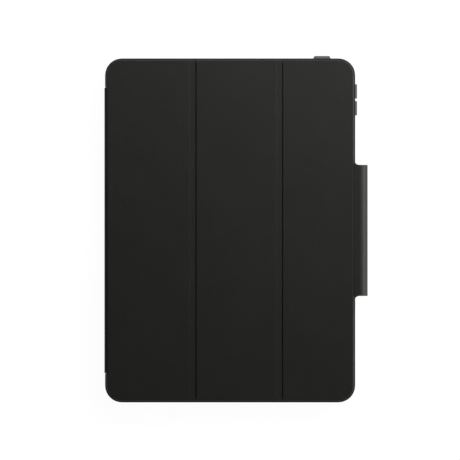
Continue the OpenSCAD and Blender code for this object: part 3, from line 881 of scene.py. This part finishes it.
class CASE_OT_buttons(bpy.types.Operator):
    """Model the power and volume buttons"""

    bl_idname = "case.buttons"
    bl_label = "Buttons"

    def execute(self, context):
        for node in ("power_button", "volume_up_button", "volume_down_button"):
            softened(node, "button", radius=0.35, segments=4)
        return {"FINISHED"}


# ---- Keyboard ----

LEGENDS = {
    "function_keys": ["esc"] + [f"F{n}" for n in range(1, 13)] + ["del"],
    "number_keys": ["`"] + list("1234567890-=") + ["back"],
    "upper_letter_keys": ["tab"] + list("QWERTYUIOP[]\\"),
    "home_keys": ["caps"] + list("ASDFGHJKL;'") + ["enter"],
    "lower_letter_keys": ["shift"] + list("ZXCVBNM,./") + ["shift"],
    "modifier_keys": ["fn", "ctrl", "alt", "menu", "menu", "alt", "<", "^", "v", ">"],
    "space_bar": [""],
}
# Keys narrower than this many millimetres get small legends and no dome of their own
SMALL_KEY = 8


def key_cap(lo, hi, dish):
    """One key cap: round corners, rolled rim and a shallow hollow on top.

    The rim and the hollow's slope together stay under the corners' radius.
    """
    corner_radius, rolled, rim, slope = 1.5, 0.28, 0.45, 0.6
    bm = slab(lo, hi)
    corners = [(x, y) for x in (lo.x, hi.x) for y in (lo.y, hi.y)]
    round_corners(bm, corners, corner_radius, segments=4)
    round_edges(bm, level_edges(bm, hi.z), rolled, segments=3)
    bm.normal_update()
    top = max(bm.faces, key=lambda f: f.normal.z * f.calc_area())
    bmesh.ops.inset_region(bm, faces=[top], thickness=rim, depth=0)
    bmesh.ops.inset_region(bm, faces=[top], thickness=slope, depth=-dish)
    return bm


def legend_mesh(text, place, height):
    """A word or sign, read from the keyboard's front side, as thin raised paint."""
    curve = bpy.data.curves.new("legend", "FONT")
    capital_share = 0.7
    curve.body = text
    curve.size = height / capital_share
    curve.align_x = "CENTER"
    curve.align_y = "CENTER"
    curve.resolution_u = 3
    curve.extrude = 0.02
    maker = bpy.data.objects.new("legend", curve)
    bpy.context.scene.collection.objects.link(maker)
    bpy.context.view_layer.update()
    mesh = bpy.data.meshes.new_from_object(maker)
    turn = Matrix.Rotation(math.radians(90), 4, "Z")
    mesh.transform(Matrix.Translation(place) @ turn)
    bm = bmesh.new()
    bm.from_mesh(mesh)
    bmesh.ops.remove_doubles(bm, verts=bm.verts, dist=ON_POINT)
    bpy.data.objects.remove(maker)
    bpy.data.curves.remove(curve)
    bpy.data.meshes.remove(mesh)
    return bm


class CASE_OT_keys(bpy.types.Operator):
    """Model the key caps and their plain legends"""

    bl_idname = "case.keys"
    bl_label = "Keys"

    def execute(self, context):
        dish = context.scene.case_keyboard.dish / MM
        above_dish, small_height, height = 0.01, 1.9, 3.4
        for node, words in LEGENDS.items():
            boxes = solids_of(node)
            caps = joined([key_cap(lo, hi, dish) for lo, hi in boxes])
            piece(node + "_caps", caps, ["key_cap"], body_of_node(node), [node])
            marks = []
            for (lo, hi), word in zip(boxes, words):
                if word:
                    place = Vector(((lo.x + hi.x) / 2, (lo.y + hi.y) / 2,
                        hi.z - dish + above_dish))
                    small = len(word) > 1 or hi.x - lo.x < SMALL_KEY
                    marks.append(legend_mesh(word, place, small_height if small else height))
            if marks:
                piece(node + "_legends", joined(marks), ["key_legend"],
                    body_of_node(node), even=False)
        return {"FINISHED"}


def pin(centre, radius_below, radius_above, z0, z1, segments):
    """An upright round pin between two heights."""
    bm = bmesh.new()
    bmesh.ops.create_cone(bm, cap_ends=True, segments=segments, radius1=radius_below,
        radius2=radius_above, depth=z1 - z0)
    bmesh.ops.translate(bm, verts=bm.verts, vec=(centre.x, centre.y, (z0 + z1) / 2))
    return bm


def dome(place, height):
    """One rubber dome that carries a key, with a rolled top edge."""
    foot_radius, top_radius = 2.6, 1.5
    bm = pin(place, foot_radius, top_radius, place.z, place.z + height, segments=20)
    bm.normal_update()
    rim = [e for e in bm.edges
        if all(abs(v.co.z - place.z - height) < ON_LEVEL for v in e.verts)]
    round_edges(bm, rim, radius=0.35, segments=2)
    return bm


class CASE_OT_domes(bpy.types.Operator):
    """Model the rubber sheet and the domes that give way under each row of keys"""

    bl_idname = "case.domes"
    bl_label = "Rubber domes"

    def execute(self, context):
        lo, hi = box_of("dome_sheet")
        sheet_thick = 0.3
        sheet_top = lo.z + sheet_thick
        height = hi.z - sheet_top
        bm = slab(lo, Vector((hi.x, hi.y, sheet_top)))
        piece("dome_sheet_shape", bm, ["dome_rubber"], "keyboard", ["dome_sheet"])
        for node in LEGENDS:
            if node == "function_keys":  # there are no domes under them
                continue
            domes = [dome(Vector(((a.x + b.x) / 2, (a.y + b.y) / 2, sheet_top)), height)
                for a, b in solids_of(node) if b.x - a.x > SMALL_KEY]
            row = piece(node + "_domes", joined(domes), ["dome_rubber"], "keyboard")
            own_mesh(row)
        return {"FINISHED"}


def screw_head(centre, radius, z0, z1):
    """A flat screw head with a six-lobed recess, seen from below."""
    chamfer, chamfer_height, land = 0.15, 0.08, 0.45
    lobe_share, recess = 0.28, 0.25
    bm = pin(centre, radius, radius, z0, z1, segments=24)
    bm.normal_update()
    bottom = min(bm.faces, key=lambda f: f.normal.z)
    bmesh.ops.inset_region(bm, faces=[bottom], thickness=chamfer, depth=chamfer_height)
    bmesh.ops.inset_region(bm, faces=[bottom], thickness=land, depth=0)
    for i, vert in enumerate(bottom.verts):
        between_lobes = i % 4 < 2
        if between_lobes:
            away = vert.co - Vector((centre.x, centre.y, vert.co.z))
            vert.co -= away * lobe_share
    extruded(bm, bottom, (0, 0, recess))
    return bm


class CASE_OT_keyboard_shell(bpy.types.Operator):
    """Model the keyboard's base, deck, pad, port, feet, switch and screws"""

    bl_idname = "case.keyboard_shell"
    bl_label = "Keyboard shell"

    def execute(self, context):
        softened("keyboard_base", "keyboard_shell", radius=0.12)
        softened("keyboard_deck", "keyboard_top", radius=0.12)
        softened("trackpad", "pad_surface", radius=0.15, segments=3)
        softened("charging_port", "port_metal", radius=0.1)
        softened("keyboard_feet", "foot_rubber", radius=0.1)
        softened("power_switch", "switch_knob", radius=0.12)
        softened("keyboard_magnets", "magnet", radius=0.08)
        softened("status_lights", "light_lens", radius=0.1)
        head_height, shank_start, shank_radius, tip_radius = 0.4, 0.35, 0.8, 0.7
        parts = []
        for lo, hi in solids_of("deck_screws"):
            centre = (lo + hi) / 2
            parts.append(screw_head(centre, (hi.x - lo.x) / 2, lo.z, lo.z + head_height))
            parts.append(pin(centre, shank_radius, tip_radius, lo.z + shank_start, hi.z,
                segments=16))
        piece("keyboard_screws", joined(parts), ["screw_steel"], "keyboard",
            ["deck_screws"], even=False)
        return {"FINISHED"}


class CASE_OT_inner_parts(bpy.types.Operator):
    """Give the pieces inside the case their finishes"""

    bl_idname = "case.inner_parts"
    bl_label = "Inner parts"

    def execute(self, context):
        slots = {s["node"]: s["material_slot"] for s in frame["record"]["subparts"]}
        for node, obj in frame["nodes"].items():
            if obj.hide_render:
                continue
            obj.data.materials.clear()
            obj.data.materials.append(finish_of(slots[node]))
        return {"FINISHED"}


# ---- Stage ----

# In metres and watts: place, width and height, and power of each lamp
LAMPS = {
    "right_softbox": ((1.1, 0.15, 0.38), (1.0, 0.6), 12.2),
    "top_softbox": ((0.15, 1.15, 0.45), (1.0, 0.5), 0.6),
    "left_softbox": ((-1.15, -0.1, 0.15), (0.9, 0.28), 3),
    "front_softbox": ((0.2, -1.2, 0.15), (1.0, 0.28), 1.4),
    "near_softbox": ((0.05, 0.42, 0.38), (0.5, 0.25), 1),
    "corner_softbox": ((0.4, 0.25, 0.45), (0.3, 0.4), 1.15),
    "upper_softbox": ((0.15, 0.55, 0.5), (0.6, 0.3), 1.5),
}
LAMP_TARGET = Vector((0, 0, 0.01))
# Strength at which the glow's share and the floor's own shade come to white
GLOW_STRENGTH = 1.12
FLOOR_HALF = 15
WHITE = (1, 1, 1, 1)


def rays_of(tree, kinds):
    """1 for rays of any of the given kinds, and 0 for the rest."""
    path = tree.nodes.new("ShaderNodeLightPath")
    found = path.outputs[kinds[0]]
    for kind in kinds[1:]:
        either = tree.nodes.new("ShaderNodeMath")
        either.operation = "MAXIMUM"
        tree.links.new(found, either.inputs[0])
        tree.links.new(path.outputs[kind], either.inputs[1])
        found = either.outputs[0]
    return found


def white_background(material, shader, share):
    """Mixes white into what is seen directly or mirrored, and keeps some of the shadow."""
    tree = material.node_tree
    seen = rays_of(tree, ("Is Camera Ray", "Is Glossy Ray", "Is Transmission Ray"))
    glow = tree.nodes.new("ShaderNodeEmission")
    glow.inputs["Strength"].default_value = GLOW_STRENGTH
    part = tree.nodes.new("ShaderNodeMath")
    part.operation = "MULTIPLY"
    part.inputs[1].default_value = share
    choice = tree.nodes.new("ShaderNodeMixShader")
    tree.links.new(seen, part.inputs[0])
    tree.links.new(part.outputs[0], choice.inputs["Fac"])
    tree.links.new(shader.outputs[0], choice.inputs[1])
    tree.links.new(glow.outputs[0], choice.inputs[2])
    tree.links.new(choice.outputs[0], tree.nodes["Material Output"].inputs["Surface"])


def softbox(name, place, size, power):
    """A flat lamp that faces the case and isn't seen itself."""
    lamp = bpy.data.lights.new(name, "AREA")
    lamp.shape = "RECTANGLE"
    lamp.size, lamp.size_y = size
    lamp.energy = power
    obj = bpy.data.objects.new(name, lamp)
    bpy.context.scene.collection.objects.link(obj)
    obj.location = place
    obj.rotation_euler = (Vector(place) - LAMP_TARGET).to_track_quat("Z", "Y").to_euler()
    obj.visible_camera = False


def staged(name, bm, colour):
    """A pale matt piece of the stage from a shape in metres, and its material."""
    mesh = bpy.data.meshes.new(name)
    bm.to_mesh(mesh)
    bm.free()
    obj = bpy.data.objects.new(name, mesh)
    bpy.context.scene.collection.objects.link(obj)
    paint, shader = shader_of(name + "_paint", colour, 0.9, specular=0.1)
    mesh.materials.append(paint)
    return paint, shader


class CASE_OT_stage(bpy.types.Operator):
    """Set up the pale floor, soft lamps and camera"""

    bl_idname = "case.stage"
    bl_label = "Stage"

    def execute(self, context):
        scene = context.scene
        scene.view_settings.view_transform = "Standard"
        self.floor(scene.case_stage)
        self.shade_patch(scene.case_stage)
        self.world(scene)
        for name, (place, size, power) in LAMPS.items():
            softbox(name, place, size, power)
        self.camera(scene)
        return {"FINISHED"}

    def floor(self, settings):
        """Wide pale floor just below the case."""
        gap = 0.0001
        bm = bmesh.new()
        bmesh.ops.create_grid(bm, x_segments=8, y_segments=8, size=FLOOR_HALF)
        bmesh.ops.translate(bm, verts=bm.verts, vec=(0, 0, -gap))
        paint, shader = staged("floor", bm, settings.floor)
        white_background(paint, shader, settings.glow)

    def shade_patch(self, settings):
        """Floor without glow under the case, as seen through the camera window."""
        inward, bottom, top = 4, 0.09, 0.05
        lo, hi = box_of("back_skin")
        bm = slab(lo + Vector((inward, inward, -bottom)),
            Vector((hi.x - inward, hi.y - inward, lo.z - top)))
        bmesh.ops.scale(bm, vec=(MM, MM, MM), verts=bm.verts)
        staged("shaded_floor", bm, settings.floor)

    def camera(self, scene):
        """Camera straight above the cover, far away so that it hardly foreshortens."""
        settings = scene.case_stage
        lens = bpy.data.cameras.new("camera")
        camera = bpy.data.objects.new("camera", lens)
        scene.collection.objects.link(camera)
        tray_middle = middle("tray_bumper") * MM
        cover_top = Vector((tray_middle.x, tray_middle.y, CAD_BOX[1].z))
        camera.location = cover_top + Vector(settings.aim) + UP * settings.distance
        lens.lens = lens.sensor_width * settings.distance / settings.field
        lens.clip_end = 50
        scene.camera = camera

    def world(self, scene):
        """An even dim sky that looks white. White gloss from above would grey the leather."""
        world = bpy.data.worlds.new("studio")
        scene.world = world
        world.use_nodes = True
        tree = world.node_tree
        background = tree.nodes["Background"]
        background.inputs["Color"].default_value = WHITE
        background.inputs["Strength"].default_value = scene.case_stage.sky
        seen = tree.nodes.new("ShaderNodeBackground")
        seen.inputs["Color"].default_value = WHITE
        choice = tree.nodes.new("ShaderNodeMixShader")
        direct = rays_of(tree, ("Is Camera Ray", "Is Transmission Ray"))
        tree.links.new(direct, choice.inputs["Fac"])
        tree.links.new(background.outputs[0], choice.inputs[1])
        tree.links.new(seen.outputs[0], choice.inputs[2])
        tree.links.new(choice.outputs[0], tree.nodes["World Output"].inputs["Surface"])


# ---- Add-on ----

OPERATORS = (
    CASE_OT_stage, CASE_OT_cover_panels, CASE_OT_fold_webs, CASE_OT_spine, CASE_OT_clasp,
    CASE_OT_tray, CASE_OT_buttons, CASE_OT_keyboard_shell, CASE_OT_keys, CASE_OT_domes,
    CASE_OT_inner_parts,
)
SETTINGS = {
    "case_cover": CoverSettings,
    "case_tray": TraySettings,
    "case_keyboard": KeyboardSettings,
    "case_stage": StageSettings,
}


class CASE_PT_panel(bpy.types.Panel):
    """Lists the case's settings and the steps that model it"""

    bl_label = "Keyboard case"
    bl_idname = "CASE_PT_panel"
    bl_space_type = "VIEW_3D"
    bl_region_type = "UI"
    bl_category = "Keyboard case"

    def draw(self, context):
        for name, group in SETTINGS.items():
            box = self.layout.box()
            for key in group.__annotations__:
                box.prop(getattr(context.scene, name), key)
        for operator in OPERATORS:
            self.layout.operator(operator.bl_idname)


def register():
    for group in SETTINGS.values():
        bpy.utils.register_class(group)
    for name, group in SETTINGS.items():
        setattr(bpy.types.Scene, name, bpy.props.PointerProperty(type=group))
    for operator in OPERATORS:
        bpy.utils.register_class(operator)
    bpy.utils.register_class(CASE_PT_panel)


def unregister():
    bpy.utils.unregister_class(CASE_PT_panel)
    for operator in reversed(OPERATORS):
        bpy.utils.unregister_class(operator)
    for name in SETTINGS:
        delattr(bpy.types.Scene, name)
    for group in SETTINGS.values():
        bpy.utils.unregister_class(group)


def main():
    register()
    for operator in OPERATORS:
        group, name = operator.bl_idname.split(".")
        getattr(getattr(bpy.ops, group), name)()


if __name__ == "__main__":
    main()
